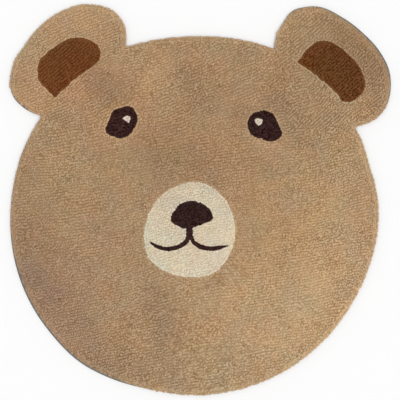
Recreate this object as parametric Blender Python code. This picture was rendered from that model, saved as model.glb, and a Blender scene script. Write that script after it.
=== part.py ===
"""Child's floor rug shaped like a bear's face: one hand-tufted piece of short cut pile.

The rug lies on the floor, face up: +Z is up, +Y points to the top of the head and +X to
the right as it is looked down on. All lengths are in metres and all angles in degrees.
The coat, inner ears, muzzle, eyes, nose and mouth are one cloth in different yarns, so
they are areas of one solid and none of them stands up.
"""

import math

import bpy
from mathutils import Vector
from mathutils.geometry import delaunay_2d_cdt

# ---------------------------------------------------------------- thickness and edge
PILE_HEIGHT = 0.014       # floor to the tips of the pile
EDGE_HEIGHT = 0.005       # height at which the edge is widest
EDGE_ROLL = 0.012         # how far in from the edge the pile rounds over
EDGE_RINGS = 3            # rings of faces across the rounded edge
UNDERSIDE_INSET = 0.002   # how far the flat underside stops short of the widest line

# ---------------------------------------------------------------- mesh spacing
OUTLINE_STEP = 0.013      # between points along the outer edge
OUTLINE_FINE_STEP = 0.004  # the same while head and ears are being joined
CORNER_TURN = 25.0        # a sharper turn than this is a corner that is kept
LATTICE_STEP = 0.026      # between points across the top
UNDERSIDE_STEP = 0.060    # between points across the flat underside
LATTICE_GAP = 0.5         # clear distance to the edge, as a share of the step
AREA_STEP = 0.010         # between points along the lines that part two yarns
AREA_GAP = 0.010          # clear distance from the other points to those lines
CDT_TOLERANCE = 1e-6      # points nearer than this are one point
INSIDE_CONSTRAINTS = 1    # triangulation mode that keeps all constrained triangles

# ---------------------------------------------------------------- outline
# The head and the ears are closed curves, each drawn round a centre of its own. No two
# sides are alike, as the rug was cut by hand.
# Columns: name, centre x, centre y, bearing of its axis from +X, column of LOBE_RADII.
LOBES = (
    ("head", -0.018, -0.047, 0.0, 1),
    ("left_ear", -0.366, 0.386, 128.0, 2),
    ("right_ear", 0.370, 0.375, 48.0, 3),
)

# Columns: bearing from the axis, distance from the centre in the head, in the left ear and
# in the right ear. An ear's rows from 150 to 210 lie under the head.
LOBE_RADII = (
    (0.0, 0.519, 0.132, 0.128),
    (30.0, 0.515, 0.136, 0.141),
    (60.0, 0.522, 0.166, 0.178),
    (90.0, 0.506, 0.188, 0.188),
    (120.0, 0.514, 0.164, 0.163),
    (150.0, 0.513, 0.140, 0.140),
    (180.0, 0.517, 0.130, 0.130),
    (210.0, 0.520, 0.140, 0.150),
    (240.0, 0.514, 0.153, 0.180),
    (270.0, 0.504, 0.187, 0.193),
    (300.0, 0.504, 0.175, 0.169),
    (330.0, 0.507, 0.147, 0.140),
)

# Places where the hand-cut edge bulges out, or in where the depth is below zero.
# Columns: lobe, bearing from its axis, spread in degrees, depth.
BULGES = (
    ("head", 15.0, 6.0, -0.003),
    ("head", 26.0, 4.0, 0.003),
    ("head", 159.0, 7.0, 0.002),
    ("head", 231.0, 8.0, 0.004),
    ("head", 255.0, 13.0, -0.005),
    ("left_ear", 74.0, 9.0, 0.004),
    ("left_ear", 95.0, 9.0, -0.004),
    ("left_ear", 286.0, 10.0, 0.003),
    ("right_ear", 76.0, 8.0, 0.004),
    ("right_ear", 93.0, 8.0, -0.004),
)

# ---------------------------------------------------------------- yarn areas
# Inner ears. Columns: x and y of the knots of a closed curve, counter-clockwise. The first
# knot is a corner.
LEFT_INNER_EAR = (
    (-0.407, 0.286),
    (-0.360, 0.333),
    (-0.307, 0.371),
    (-0.286, 0.391),
    (-0.281, 0.412),
    (-0.290, 0.435),
    (-0.327, 0.454),
    (-0.369, 0.450),
    (-0.417, 0.4225),
    (-0.449, 0.391),
    (-0.4565, 0.360),
    (-0.4475, 0.328),
)
RIGHT_INNER_EAR = (
    (0.273, 0.386),
    (0.308, 0.3615),
    (0.356, 0.324),
    (0.383, 0.298),
    (0.402, 0.275),
    (0.432, 0.280),
    (0.456, 0.304),
    (0.4625, 0.328),
    (0.449, 0.367),
    (0.4065, 0.417),
    (0.367, 0.441),
    (0.333, 0.445),
    (0.300, 0.421),
)

# Muzzle, eyes, nose and the glints in the eyes. Columns: x and y of the knots of a closed
# curve, counter-clockwise.
MUZZLE = (
    (0.099, -0.099),
    (0.090, -0.037),
    (0.061, 0.010),
    (0.019, 0.043),
    (-0.029, 0.050),
    (-0.085, 0.030),
    (-0.127, -0.007),
    (-0.153, -0.063),
    (-0.158, -0.119),
    (-0.139, -0.172),
    (-0.085, -0.206),
    (-0.021, -0.218),
    (0.038, -0.205),
    (0.078, -0.161),
)
LEFT_EYE = (
    (-0.176, 0.224),
    (-0.185, 0.250),
    (-0.198, 0.262),
    (-0.239, 0.254),
    (-0.252, 0.235),
    (-0.265, 0.200),
    (-0.257, 0.184),
    (-0.223, 0.173),
    (-0.194, 0.188),
)
RIGHT_EYE = (
    (0.229, 0.187),
    (0.215, 0.220),
    (0.201, 0.242),
    (0.176, 0.249),
    (0.147, 0.242),
    (0.133, 0.214),
    (0.145, 0.181),
    (0.172, 0.171),
    (0.197, 0.163),
    (0.220, 0.172),
)
NOSE = (
    (0.033, -0.055),
    (0.029, -0.032),
    (0.013, -0.015),
    (-0.009, -0.006),
    (-0.040, -0.006),
    (-0.065, -0.020),
    (-0.082, -0.054),
    (-0.067, -0.073),
    (-0.035, -0.081),
    (0.008, -0.067),
)
LEFT_GLINT = (
    (-0.1965, 0.2285),
    (-0.2005, 0.2355),
    (-0.2090, 0.2345),
    (-0.2185, 0.2265),
    (-0.2090, 0.2215),
    (-0.2035, 0.2145),
)
RIGHT_GLINT = (
    (0.1735, 0.2265),
    (0.1580, 0.2275),
    (0.1535, 0.2190),
    (0.1630, 0.2085),
    (0.1725, 0.2155),
)

# Strokes of the mouth. Columns: x, y and half width at points along the stroke.
STEM = (
    (-0.0300, -0.075, 0.0105),
    (-0.0300, -0.088, 0.0085),
    (-0.0300, -0.099, 0.0084),
    (-0.0300, -0.110, 0.0092),
)
LEFT_LIP = (
    (-0.142, -0.1175, 0.0020),
    (-0.124, -0.1300, 0.0048),
    (-0.094, -0.1382, 0.0058),
    (-0.063, -0.1330, 0.0058),
    (-0.042, -0.1190, 0.0068),
    (-0.032, -0.1020, 0.0070),
)
RIGHT_LIP = (
    (-0.028, -0.1020, 0.0060),
    (-0.018, -0.1195, 0.0058),
    (0.001, -0.1318, 0.0062),
    (0.024, -0.1370, 0.0066),
    (0.046, -0.1358, 0.0060),
    (0.062, -0.1325, 0.0038),
    (0.079, -0.1288, 0.0012),
)

# ---------------------------------------------------------------- lumps of the pile
# Columns: wavelength, heading of the wave from +X, phase, height of the crest.
LUMPS = (
    (0.330, 25.0, 40.0, 0.00045),
    (0.210, 118.0, 200.0, 0.00040),
    (0.140, 70.0, 90.0, 0.00030),
    (0.095, 160.0, 310.0, 0.00020),
)

# ---------------------------------------------------------------- yarn colours
# Columns: yarn, red, green, blue (linear).
YARNS = (
    ("tan", 0.371, 0.235, 0.133),
    ("brown", 0.135, 0.050, 0.017),
    ("cream", 0.637, 0.540, 0.392),
    ("dark", 0.032, 0.015, 0.013),
)
PILE_ROUGHNESS = 0.95
SHARP_EDGE = 50.0         # edges that turn more than this are shaded sharp


def clear_scene():
    """Remove every object, so that the rug is all there is."""
    for thing in list(bpy.data.objects):
        bpy.data.objects.remove(thing, do_unlink=True)


def smooth_segment(before, start, end, after, share):
    """Value or point at a share of the way from start to end on a Catmull-Rom curve."""
    square = share * share
    cube = square * share
    return (
        before * (-0.5 * cube + square - 0.5 * share)
        + start * (1.5 * cube - 2.5 * square + 1.0)
        + end * (-1.5 * cube + 2.0 * square + 0.5 * share)
        + after * (0.5 * cube - 0.5 * square)
    )


def closed_loop(rows, step, cornered):
    """Points about a step apart on the closed curve through the knots in rows.

    The curve has a corner at its first knot, or none.
    """
    knots = [Vector(row) for row in rows]
    count = len(knots)
    points = []
    for index, start in enumerate(knots):
        end = knots[(index + 1) % count]
        before = start if cornered and index == 0 else knots[index - 1]
        after = end if cornered and index == count - 1 else knots[(index + 2) % count]
        pieces = max(1, round((end - start).length / step))
        for piece in range(pieces):
            points.append(smooth_segment(before, start, end, after, piece / pieces))
    return points


def smooth_line(knots, step):
    """Points about a step apart on the open curve through the knots, ends included."""
    points = []
    for index in range(len(knots) - 1):
        start = knots[index]
        end = knots[index + 1]
        before = knots[max(index - 1, 0)]
        after = knots[min(index + 2, len(knots) - 1)]
        pieces = max(1, round((end - start).length / step))
        for piece in range(pieces):
            points.append(smooth_segment(before, start, end, after, piece / pieces))
    points.append(knots[-1])
    return points


def polar_point(centre, bearing, distance):
    """Point at a bearing and distance from a centre."""
    angle = math.radians(bearing)
    return Vector(centre) + Vector((math.cos(angle), math.sin(angle))) * distance


def bulge(lobe, bearing):
    """How far a lobe's edge strays outward at a bearing from its axis."""
    out = 0.0
    for name, middle, spread, depth in BULGES:
        if name == lobe:
            out += depth * math.exp(-(((bearing - middle) / spread) ** 2))
    return out


def lobe_loop(lobe, x, y, axis, column):
    """Closed outline of the head or of an ear, its distance eased between the rows."""
    count = len(LOBE_RADII)
    widest = max(row[column] for row in LOBE_RADII)
    pieces = round(2.0 * math.pi * widest / (count * OUTLINE_FINE_STEP))
    points = []
    for index, row in enumerate(LOBE_RADII):
        near = [LOBE_RADII[(index + shift) % count][column] for shift in (-1, 0, 1, 2)]
        for piece in range(pieces):
            share = piece / pieces
            bearing = row[0] + share * 360.0 / count
            distance = smooth_segment(*near, share) + bulge(lobe, bearing)
            points.append(polar_point((x, y), axis + bearing, distance))
    return points


def triangulate(loops, loose_points):
    """Triangles inside counter-clockwise loops: points, corners, loops over each, sources."""
    points = []
    outlines = []
    for loop in loops:
        first = len(points)
        points.extend(loop)
        outlines.append(list(range(first, len(points))))
    points.extend(loose_points)
    places, _edges, faces, sources, _edge_loops, face_loops = delaunay_2d_cdt(
        points, [], outlines, INSIDE_CONSTRAINTS, CDT_TOLERANCE, True
    )
    covered = [index for index, over in enumerate(face_loops) if over]
    triangles = [faces[index] for index in covered]
    inside = [face_loops[index] for index in covered]
    return places, triangles, inside, sources


def outer_loop(loops):
    """Outline of everything that the overlapping loops cover, counter-clockwise."""
    points, triangles, _inside, _sources = triangulate(loops, [])
    following = {}
    sides = {(a, b) for tri in triangles for a, b in zip(tri, tri[1:] + tri[:1])}
    for start, end in sides:
        if (end, start) not in sides:
            following[start] = end
    first = min(following)
    chain = [first]
    while following[chain[-1]] != first:
        chain.append(following[chain[-1]])
    return [points[index] for index in chain]


def turn_at(loop, index):
    """How sharply the loop turns at a point, in degrees."""
    count = len(loop)
    arriving = loop[index] - loop[index - 1]
    leaving = loop[(index + 1) % count] - loop[index]
    return abs(math.degrees(arriving.angle_signed(leaving)))


def even_loop(loop, step):
    """The same loop with evenly spaced points, its corners kept."""
    count = len(loop)
    corners = [index for index in range(count) if turn_at(loop, index) > CORNER_TURN]
    points = []
    for corner, next_corner in zip(corners, corners[1:] + [corners[0] + count]):
        run = [loop[index % count] for index in range(corner, next_corner + 1)]
        points.extend(even_run(run, step))
    return points


def even_run(run, step):
    """Evenly spaced points along a run of points, without its last one."""
    lengths = [0.0]
    for start, end in zip(run, run[1:]):
        lengths.append(lengths[-1] + (end - start).length)
    pieces = max(1, round(lengths[-1] / step))
    points = []
    place = 0
    for piece in range(pieces):
        target = lengths[-1] * piece / pieces
        while lengths[place + 1] < target:
            place += 1
        span = lengths[place + 1] - lengths[place]
        points.append(run[place].lerp(run[place + 1], (target - lengths[place]) / span))
    return points


def inset_loop(loop, distance):
    """A counter-clockwise loop moved in by a distance."""
    count = len(loop)
    moved = []
    for index, point in enumerate(loop):
        along = (loop[(index + 1) % count] - loop[index - 1]).normalized()
        moved.append(point + Vector((-along.y, along.x)) * distance)
    return moved


def stroke_loop(rows):
    """Closed outline of a stroke that is as wide as its rows say."""
    middle = smooth_line([Vector(row) for row in rows], AREA_STEP)
    left = []
    right = []
    for index, (x, y, half) in enumerate(middle):
        before = middle[max(index - 1, 0)]
        after = middle[min(index + 1, len(middle) - 1)]
        along = Vector((after[0] - before[0], after[1] - before[1])).normalized()
        across = Vector((-along.y, along.x)) * half
        left.append(Vector((x, y)) + across)
        right.append(Vector((x, y)) - across)
    return right + left[::-1]


def yarn_areas():
    """Yarn and loop of every area that isn't the tan coat, the uppermost last."""
    areas = []
    for rows in (LEFT_INNER_EAR, RIGHT_INNER_EAR):
        areas.append(("brown", closed_loop(rows, AREA_STEP, cornered=True)))
    patches = [("cream", MUZZLE)]
    patches += [("dark", rows) for rows in (LEFT_EYE, RIGHT_EYE, NOSE)]
    patches += [("cream", rows) for rows in (LEFT_GLINT, RIGHT_GLINT)]
    for yarn, rows in patches:
        areas.append((yarn, closed_loop(rows, AREA_STEP, cornered=False)))
    for rows in (STEM, LEFT_LIP, RIGHT_LIP):
        areas.append(("dark", stroke_loop(rows)))
    return areas


def lattice(loop, lines, step):
    """Staggered points inside a loop, clear of the loop and of the drawn lines."""
    low_x = min(point.x for point in loop)
    high_x = max(point.x for point in loop)
    low_y = min(point.y for point in loop)
    high_y = max(point.y for point in loop)
    fences = [(loop, step * LATTICE_GAP)]
    fences += [(line, AREA_GAP) for line in lines]
    row_step = step * math.sqrt(3.0) / 2.0
    points = []
    for row in range(int((high_y - low_y) / row_step) + 1):
        stagger = 0.5 * (row % 2)
        for column in range(int((high_x - low_x) / step) + 1):
            place = Vector((low_x + (column + stagger) * step, low_y + row * row_step))
            if is_inside(place, loop) and is_clear(place, fences):
                points.append(place)
    return points


def is_inside(place, loop):
    """Whether a point lies within a closed loop."""
    inside = False
    for start, end in zip(loop, loop[1:] + loop[:1]):
        if (start.y > place.y) != (end.y > place.y):
            share = (place.y - start.y) / (end.y - start.y)
            if place.x < start.x + share * (end.x - start.x):
                inside = not inside
    return inside


def is_clear(place, fences):
    """Whether a point keeps its distance from the points of every fence."""
    for line, gap in fences:
        if min((place - point).length_squared for point in line) < gap * gap:
            return False
    return True


def lump(point):
    """How far the pile stands above or below its mean height at a point."""
    height = 0.0
    for wavelength, heading, phase, crest in LUMPS:
        angle = math.radians(heading)
        along = point.x * math.cos(angle) + point.y * math.sin(angle)
        height += crest * math.sin(2.0 * math.pi * along / wavelength + math.radians(phase))
    return height


def raise_points(loop, level, share):
    """A flat loop lifted to a level, with a share of the pile's lumps."""
    return [Vector((point.x, point.y, level + share * lump(point))) for point in loop]


def ring_band(lower, upper, count):
    """Triangles between two rings of equally many vertices."""
    faces = []
    for index in range(count):
        following = (index + 1) % count
        faces.append((lower + index, lower + following, upper + following))
        faces.append((lower + index, upper + following, upper + index))
    return faces


def add_sheet(vertices, loop_start, found, level, share, facing_up):
    """Add a triangulated sheet whose first points are a ring that is already there."""
    points, triangles, sources, ring_size = found
    places = {}
    for index, point in enumerate(points):
        ring_sources = [source for source in sources[index] if source < ring_size]
        if ring_sources:
            places[index] = loop_start + ring_sources[0]
        else:
            places[index] = len(vertices)
            vertices.append(Vector((point.x, point.y, level + share * lump(point))))
    faces = []
    for triangle in triangles:
        corners = [places[index] for index in triangle]
        faces.append(corners if facing_up else corners[::-1])
    return faces


def centred(outline, areas):
    """Move everything so that the middle of the outline's box is at the origin."""
    xs = [point.x for point in outline]
    ys = [point.y for point in outline]
    middle = Vector(((min(xs) + max(xs)) / 2.0, (min(ys) + max(ys)) / 2.0))
    outline = [point - middle for point in outline]
    areas = [(yarn, [point - middle for point in loop]) for yarn, loop in areas]
    return outline, areas


def rug_mesh():
    """Vertices, faces and the yarn of each face of the whole rug."""
    lobes = [lobe_loop(*shape) for shape in LOBES]
    outline = even_loop(outer_loop(lobes), OUTLINE_STEP)
    outline, areas = centred(outline, yarn_areas())
    count = len(outline)
    underside = inset_loop(outline, UNDERSIDE_INSET)
    vertices = raise_points(underside, 0.0, 0.0)
    faces = []
    for ring in range(EDGE_RINGS + 1):
        angle = math.radians(90.0 * ring / EDGE_RINGS)
        inset = EDGE_ROLL * (1.0 - math.cos(angle))
        level = EDGE_HEIGHT + (PILE_HEIGHT - EDGE_HEIGHT) * math.sin(angle)
        vertices.extend(raise_points(inset_loop(outline, inset), level, math.sin(angle)))
        faces.extend(ring_band(ring * count, (ring + 1) * count, count))
    yarns = ["tan"] * len(faces)

    rim = [Vector(vertex[:2]) for vertex in vertices[-count:]]
    lines = [loop for _yarn, loop in areas]
    points, triangles, inside, sources = triangulate(
        [rim] + lines, lattice(rim, lines, LATTICE_STEP)
    )
    rim_start = len(vertices) - count
    top = (points, triangles, sources, count)
    faces.extend(add_sheet(vertices, rim_start, top, PILE_HEIGHT, 1.0, True))
    for covers in inside:
        uppermost = max(covers)
        yarns.append(areas[uppermost - 1][0] if uppermost else "tan")

    points, triangles, _inside, sources = triangulate(
        [underside], lattice(underside, [], UNDERSIDE_STEP)
    )
    foot = (points, triangles, sources, count)
    under = add_sheet(vertices, 0, foot, 0.0, 0.0, False)
    faces.extend(under)
    yarns.extend(["tan"] * len(under))
    return vertices, faces, yarns


def yarn_material(name, red, green, blue):
    """Rough, matt pile in one yarn."""
    material = bpy.data.materials.new(name + "_pile")
    material.use_nodes = True
    shader = material.node_tree.nodes["Principled BSDF"]
    shader.inputs["Base Color"].default_value = (red, green, blue, 1.0)
    shader.inputs["Roughness"].default_value = PILE_ROUGHNESS
    return material


def build_rug():
    """The rug as one closed, named object."""
    vertices, faces, yarns = rug_mesh()
    mesh = bpy.data.meshes.new("bear_rug")
    mesh.from_pydata(vertices, [], faces)
    slots = {}
    for name, red, green, blue in YARNS:
        slots[name] = len(mesh.materials)
        mesh.materials.append(yarn_material(name, red, green, blue))
    for polygon, yarn in zip(mesh.polygons, yarns):
        polygon.material_index = slots[yarn]
    mesh.validate()
    mesh.shade_smooth()
    mesh.set_sharp_from_angle(angle=math.radians(SHARP_EDGE))
    rug = bpy.data.objects.new("bear_rug", mesh)
    bpy.context.scene.collection.objects.link(rug)


clear_scene()
build_rug()
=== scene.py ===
"""Looks of a bear shaped rug: short cut pile in four yarns on its backing cloth.

The rug lies face up on a pale floor and is seen from straight above. +Y points to the top
of the head. Lengths are in metres and angles in degrees unless a name says otherwise.
"""

import math

import bmesh
import bpy
import numpy as np
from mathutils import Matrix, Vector
from mathutils.geometry import delaunay_2d_cdt


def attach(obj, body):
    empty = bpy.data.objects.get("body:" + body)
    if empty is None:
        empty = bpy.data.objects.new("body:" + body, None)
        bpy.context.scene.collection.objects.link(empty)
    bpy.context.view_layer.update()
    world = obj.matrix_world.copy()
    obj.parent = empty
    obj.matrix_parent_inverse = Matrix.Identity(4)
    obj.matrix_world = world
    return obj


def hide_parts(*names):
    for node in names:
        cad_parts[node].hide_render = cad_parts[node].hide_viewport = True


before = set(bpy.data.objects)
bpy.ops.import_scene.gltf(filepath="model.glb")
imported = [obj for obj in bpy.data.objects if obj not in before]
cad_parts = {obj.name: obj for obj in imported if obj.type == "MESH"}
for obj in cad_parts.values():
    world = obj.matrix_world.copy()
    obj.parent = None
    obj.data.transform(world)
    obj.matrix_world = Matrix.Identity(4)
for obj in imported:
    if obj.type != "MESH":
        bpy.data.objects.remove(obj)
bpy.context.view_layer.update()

# -------------------------------- the cloth under the pile
CLOTH_INSET = 0.0015  # the cloth's edge stops short of the rug's widest line
CLOTH_EDGE_HEIGHT = 0.0030
CLOTH_SHOULDER_INSET = 0.0060  # this and the next are from the pile's own edge
CLOTH_LEDGE_INSET = 0.0020
CLOTH_LEDGE_HEIGHT = 0.0034
CLOTH_TOP = 0.0104  # height at which the tufts stand close together
CLOTH_LATTICE = 0.012  # between points across the cloth
BED_BORDER_INSETS = (-0.0010, 0.0010)  # its points along a border between two yarns
UNDERSIDE_INSET = 0.0020  # the flat underside stops short of the widest line
WELD_DISTANCE = 1e-5  # points of the solid nearer than this are one point
LEVEL_TOLERANCE = 1e-4  # points lower than this are on the floor
FILL_MODE = 1  # the triangulation that keeps what lies within the outer loop
FILL_TOLERANCE = 1e-7
FACING_DOWN = -0.5  # faces whose normals point lower than this show the backing

# Stretches of the rim where a little of the backing shows beyond the pile, its edge painted dark
# grey as painted shade.
# Columns: x, y, half length, half width, heading of its length, how far it shows.
BARE_RIMS = (
    (-0.505, -0.190, 0.190, 0.080, -80.0, 0.0036),
    (-0.370, -0.430, 0.190, 0.080, -42.0, 0.0038),
    (-0.245, -0.505, 0.110, 0.050, -22.0, 0.0024),
    (0.530, 0.370, 0.110, 0.080, -80.0, 0.0038),
    (0.430, 0.500, 0.120, 0.060, -42.0, 0.0036),
    (0.270, 0.540, 0.080, 0.050, 10.0, 0.0024),
    (-0.510, 0.262, 0.050, 0.040, -40.0, 0.0034),
    (-0.500, 0.110, 0.110, 0.050, 70.0, 0.0012),
)
BARE_OUTWARD = 0.6  # share of it by which the cloth's edge is further out there
BARE_RINGS = 3  # rings of the cloth, from the floor up, that no yarn covers, painted dark grey as shade

# -------------------------------- random fields
SEED = 7
FIELD_SEEDS = 1000  # seeds that are kept for the fields of one seed of the rug
FIELD_SPAN = 2.4  # wider than the rug, however it is turned
FIELD_MARGIN = 3  # points of a field's grid beyond the span
FIELD_TURN = 23.0  # each field's grid is turned by this
FIELD_TURN_STEP = 41.0  # and by as many of these as its number says
# Numbers of the fields. A lean has one for each axis, and the sways one for each row.
TURN_FIELD = 2
LEAN_WIDE_FIELD = 3
LEAN_NEAR_FIELD = 5
HEIGHT_WIDE_FIELD = 7
HEIGHT_NEAR_FIELD = 8
TINT_FIELD = 11
WARM_FIELD = 12
GREEN_FIELD = 13
ROUGH_FIELD = 14
SWAY_FIELD = 20
PATCH_FIELD = 30
BORDER_FIELD = 40

# -------------------------------- tufts
PILE_TOP = 0.0138  # floor to the tips
TUFT_PITCH = 0.0052  # along a row
ROW_PITCH = 0.0078  # from row to row
TUFT_HALF_LENGTH = 0.0039
TUFT_HALF_WIDTH = 0.0034
TUFT_SIDES = 6
TUFT_ROOT_DEPTH = 0.0020  # how deep the tuft's foot is in the cloth
CLOTH_SHARE = 0.62  # a low tuft's share that is in the cloth
STROKE_TUFT_SHARE = 0.62  # half width of a stroke's tuft, as a share of the stroke's
STROKE_ROW_SHARE = 0.45  # and how far its two rows stand off its middle
STROKE_PITCH_SHARE = 0.8  # their pitch, as a share of the usual
TUFT_FOOT_SCALE = 0.80
TUFT_SHOULDER = 0.74  # share of the height at which a tuft is widest
CLOSEST = 0.0037  # nearest two tufts may stand
FILL_CLOSEST = 0.0050  # nearest a filling tuft may stand to its neighbours
FILL_LATTICE = 0.0022  # between the places that are tried for a filling tuft
ROW_HEADING = 9.0  # the rows climb a little to the right
TUFT_HEADING = 42.0  # and the tufts lie aslant across their row
PLACE_JITTER = 0.0009

# Patches whose rows climb at another angle; the first that holds a place counts there.
# Columns: x, y, radius, heading of the rows, heading of the tufts.
ROW_PATCHES = (
    (-0.372, 0.372, 0.090, 37.0, 50.0),
    (0.376, 0.362, 0.095, 43.0, 54.0),
    (-0.366, 0.386, 0.190, 20.0, 24.0),
    (0.290, 0.320, 0.065, 12.0, 44.0),
    (0.370, 0.375, 0.190, 37.0, 52.0),
    (0.010, 0.370, 0.170, 22.0, 44.0),
)
PATCH_STRAY = 0.018  # how far the patches' edges wander
PATCH_CELL = 0.045

# How the rows stray from straight lines. Columns: how far, over what distance.
SWAYS = (
    (0.016, 0.330),
    (0.006, 0.110),
    (0.0012, 0.030),
)

# Rows that follow the outline. Columns: inset of their outer side from the widest line,
# height of the tips, outward lean.
RIM_ROWS = (
    (-0.0012, 0.0090, 31.0),
    (0.0020, 0.0108, 23.0),
    (0.0060, 0.0128, 13.0),
    (0.0104, 0.0136, 6.0),
)
RIM_TIP = RIM_ROWS[0][1]
RIM_TUFT_PITCH = 0.0040
RIM_JITTER = 0.0004
RIM_FIELD_START = 0.0150  # inset at which the rows of the field begin
BORDER_JITTER = 0.0008
BORDER_WAVER = 0.0013  # how far a border strays from its drawn line
BORDER_WAVER_CELL = 0.016
BORDER_OFFSET = 0.0030  # rows that follow a border lie this far to each side of it
BORDER_TUFT_PITCH = 0.0046
BORDER_CLEAR = 0.0058  # the rows of the field stay this far from a border
BORDER_FILL_CLEAR = 0.0022
BORDER_CALM = 0.4  # share of their lean that the tufts along a border keep

LEAN_WIDE = 12.0  # how far patches of pile lean over
LEAN_WIDE_CELL = 0.030
LEAN_NEAR = 9.0
LEAN_NEAR_CELL = 0.011
LEAN_SINGLE = 8.0
TURN_NEAR = 25.0  # how far neighbouring tufts turn away from their row
TURN_NEAR_CELL = 0.014
TURN_SINGLE = 16.0
HEIGHT_WIDE = 0.0008
HEIGHT_WIDE_CELL = 0.110
HEIGHT_NEAR = 0.0008
HEIGHT_NEAR_CELL = 0.010
HEIGHT_SINGLE = 0.0005
SIZE_SPREAD = 0.12
SIZE_LIMIT = 0.25  # furthest that a tuft's size strays
RING_TILT = 0.7  # how far a leaning tuft's shoulder tips over with it
LOWEST_TUFT = 0.0006  # no tuft reaches lower than this

# Lines along which the pile parts. Columns: x and y of one end, x and y of the other.
PARTINGS = (
    (0.322, -0.1435, 0.418, -0.1345),
    (0.392, -0.1090, 0.414, -0.1090),
    (-0.470, -0.1595, -0.436, -0.1548),
)
PARTING_REACH = 0.0055
PARTING_DROP = 0.0030
PARTING_LEAN = 34.0

# -------------------------------- yarn areas
# Inner ears. Columns: x and y of the knots of a closed curve, counter-clockwise. The first
# knot is a corner.
LEFT_INNER_EAR = (
    (-0.407, 0.286),
    (-0.360, 0.333),
    (-0.307, 0.371),
    (-0.286, 0.391),
    (-0.281, 0.412),
    (-0.290, 0.435),
    (-0.327, 0.454),
    (-0.369, 0.450),
    (-0.417, 0.4225),
    (-0.449, 0.391),
    (-0.4565, 0.360),
    (-0.4475, 0.328),
)
RIGHT_INNER_EAR = (
    (0.273, 0.386),
    (0.308, 0.3615),
    (0.356, 0.324),
    (0.383, 0.298),
    (0.402, 0.275),
    (0.432, 0.280),
    (0.456, 0.304),
    (0.4625, 0.328),
    (0.449, 0.367),
    (0.4065, 0.417),
    (0.367, 0.441),
    (0.333, 0.445),
    (0.300, 0.421),
)

# Muzzle, eyes, nose and the glints in the eyes. Columns: x and y of the knots of a closed
# curve, counter-clockwise.
MUZZLE = (
    (0.099, -0.099),
    (0.090, -0.037),
    (0.061, 0.010),
    (0.019, 0.043),
    (-0.029, 0.050),
    (-0.085, 0.030),
    (-0.127, -0.007),
    (-0.153, -0.063),
    (-0.158, -0.119),
    (-0.139, -0.172),
    (-0.085, -0.206),
    (-0.021, -0.218),
    (0.038, -0.205),
    (0.078, -0.161),
)
LEFT_EYE = (
    (-0.176, 0.224),
    (-0.185, 0.250),
    (-0.198, 0.262),
    (-0.239, 0.254),
    (-0.252, 0.235),
    (-0.265, 0.200),
    (-0.257, 0.184),
    (-0.223, 0.173),
    (-0.194, 0.188),
)
RIGHT_EYE = (
    (0.229, 0.187),
    (0.215, 0.220),
    (0.201, 0.242),
    (0.176, 0.249),
    (0.147, 0.242),
    (0.133, 0.214),
    (0.145, 0.181),
    (0.172, 0.171),
    (0.197, 0.163),
    (0.220, 0.172),
)
NOSE = (
    (0.033, -0.055),
    (0.029, -0.032),
    (0.013, -0.015),
    (-0.009, -0.006),
    (-0.040, -0.006),
    (-0.065, -0.020),
    (-0.082, -0.054),
    (-0.067, -0.073),
    (-0.035, -0.081),
    (0.008, -0.067),
)
LEFT_GLINT = (
    (-0.1965, 0.2285),
    (-0.2005, 0.2355),
    (-0.2090, 0.2345),
    (-0.2185, 0.2265),
    (-0.2090, 0.2215),
    (-0.2035, 0.2145),
)
RIGHT_GLINT = (
    (0.1735, 0.2265),
    (0.1580, 0.2275),
    (0.1535, 0.2190),
    (0.1630, 0.2085),
    (0.1725, 0.2155),
)

# Strokes of the mouth. Columns: x, y and half width at points along the stroke.
STEM = (
    (-0.0300, -0.075, 0.0105),
    (-0.0300, -0.088, 0.0085),
    (-0.0300, -0.099, 0.0084),
    (-0.0300, -0.110, 0.0092),
)
LEFT_LIP = (
    (-0.142, -0.1175, 0.0020),
    (-0.124, -0.1300, 0.0048),
    (-0.094, -0.1382, 0.0058),
    (-0.063, -0.1330, 0.0058),
    (-0.042, -0.1190, 0.0068),
    (-0.032, -0.1020, 0.0070),
)
RIGHT_LIP = (
    (-0.028, -0.1020, 0.0060),
    (-0.018, -0.1195, 0.0058),
    (0.001, -0.1318, 0.0062),
    (0.024, -0.1370, 0.0066),
    (0.046, -0.1358, 0.0060),
    (0.062, -0.1325, 0.0038),
    (0.079, -0.1288, 0.0012),
)
STROKES = (STEM, LEFT_LIP, RIGHT_LIP)
AREA_STEP = 0.003  # between points along the borders of the areas

# Areas from the lowest to the uppermost. Columns: yarn, knots, whether the first is a corner.
AREAS = (
    ("brown", LEFT_INNER_EAR, True),
    ("brown", RIGHT_INNER_EAR, True),
    ("cream", MUZZLE, False),
    ("dark", LEFT_EYE, False),
    ("dark", RIGHT_EYE, False),
    ("dark", NOSE, False),
    ("cream", LEFT_GLINT, False),
    ("cream", RIGHT_GLINT, False),
)

# -------------------------------- colours
# Colour of a tuft's tip (linear), share of it that is left between the tufts as painted shade,
# how far one tuft's lightness strays, and how far it strays within a tuft.
YARNS = {
    "tan": ((0.475, 0.3170, 0.180), 0.83, 0.065, 0.70),
    "brown": ((0.178, 0.0618, 0.0158), 0.54, 0.130, 0.95),
    "cream": ((0.696, 0.605, 0.460), 0.95, 0.035, 0.16),
    "dark": ((0.036, 0.0130, 0.0108), 0.45, 0.340, 1.00),
}
YARN_PLACES = {"brown": "inner_ears", "cream": "muzzle", "dark": "features"}
SHOULDER_DEPTH = 0.2  # how much of the painted shade at its foot a tuft has at its shoulder
TINT_LIMIT = 0.45  # furthest that one tuft's lightness strays
GUMBEL_MEAN = 0.577  # of the draws by which it does: a few tufts are much darker
PAINTED_RIM_LIGHT = 0.09  # how much lighter the outermost tufts are painted: painted light at the rim
PAINTED_BARE_RIM_SHADE = 35.0  # and how much less so, as painted shade, for each metre of backing that shows
TINT_PATCH = 0.040
TINT_PATCH_CELL = 0.055
HUE_PATCH = 0.030
HUE_PATCH_CELLS = (0.055, 0.026)
GREEN_SHARE = 0.6  # how far the green strays, as a share of the red and the blue
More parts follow.
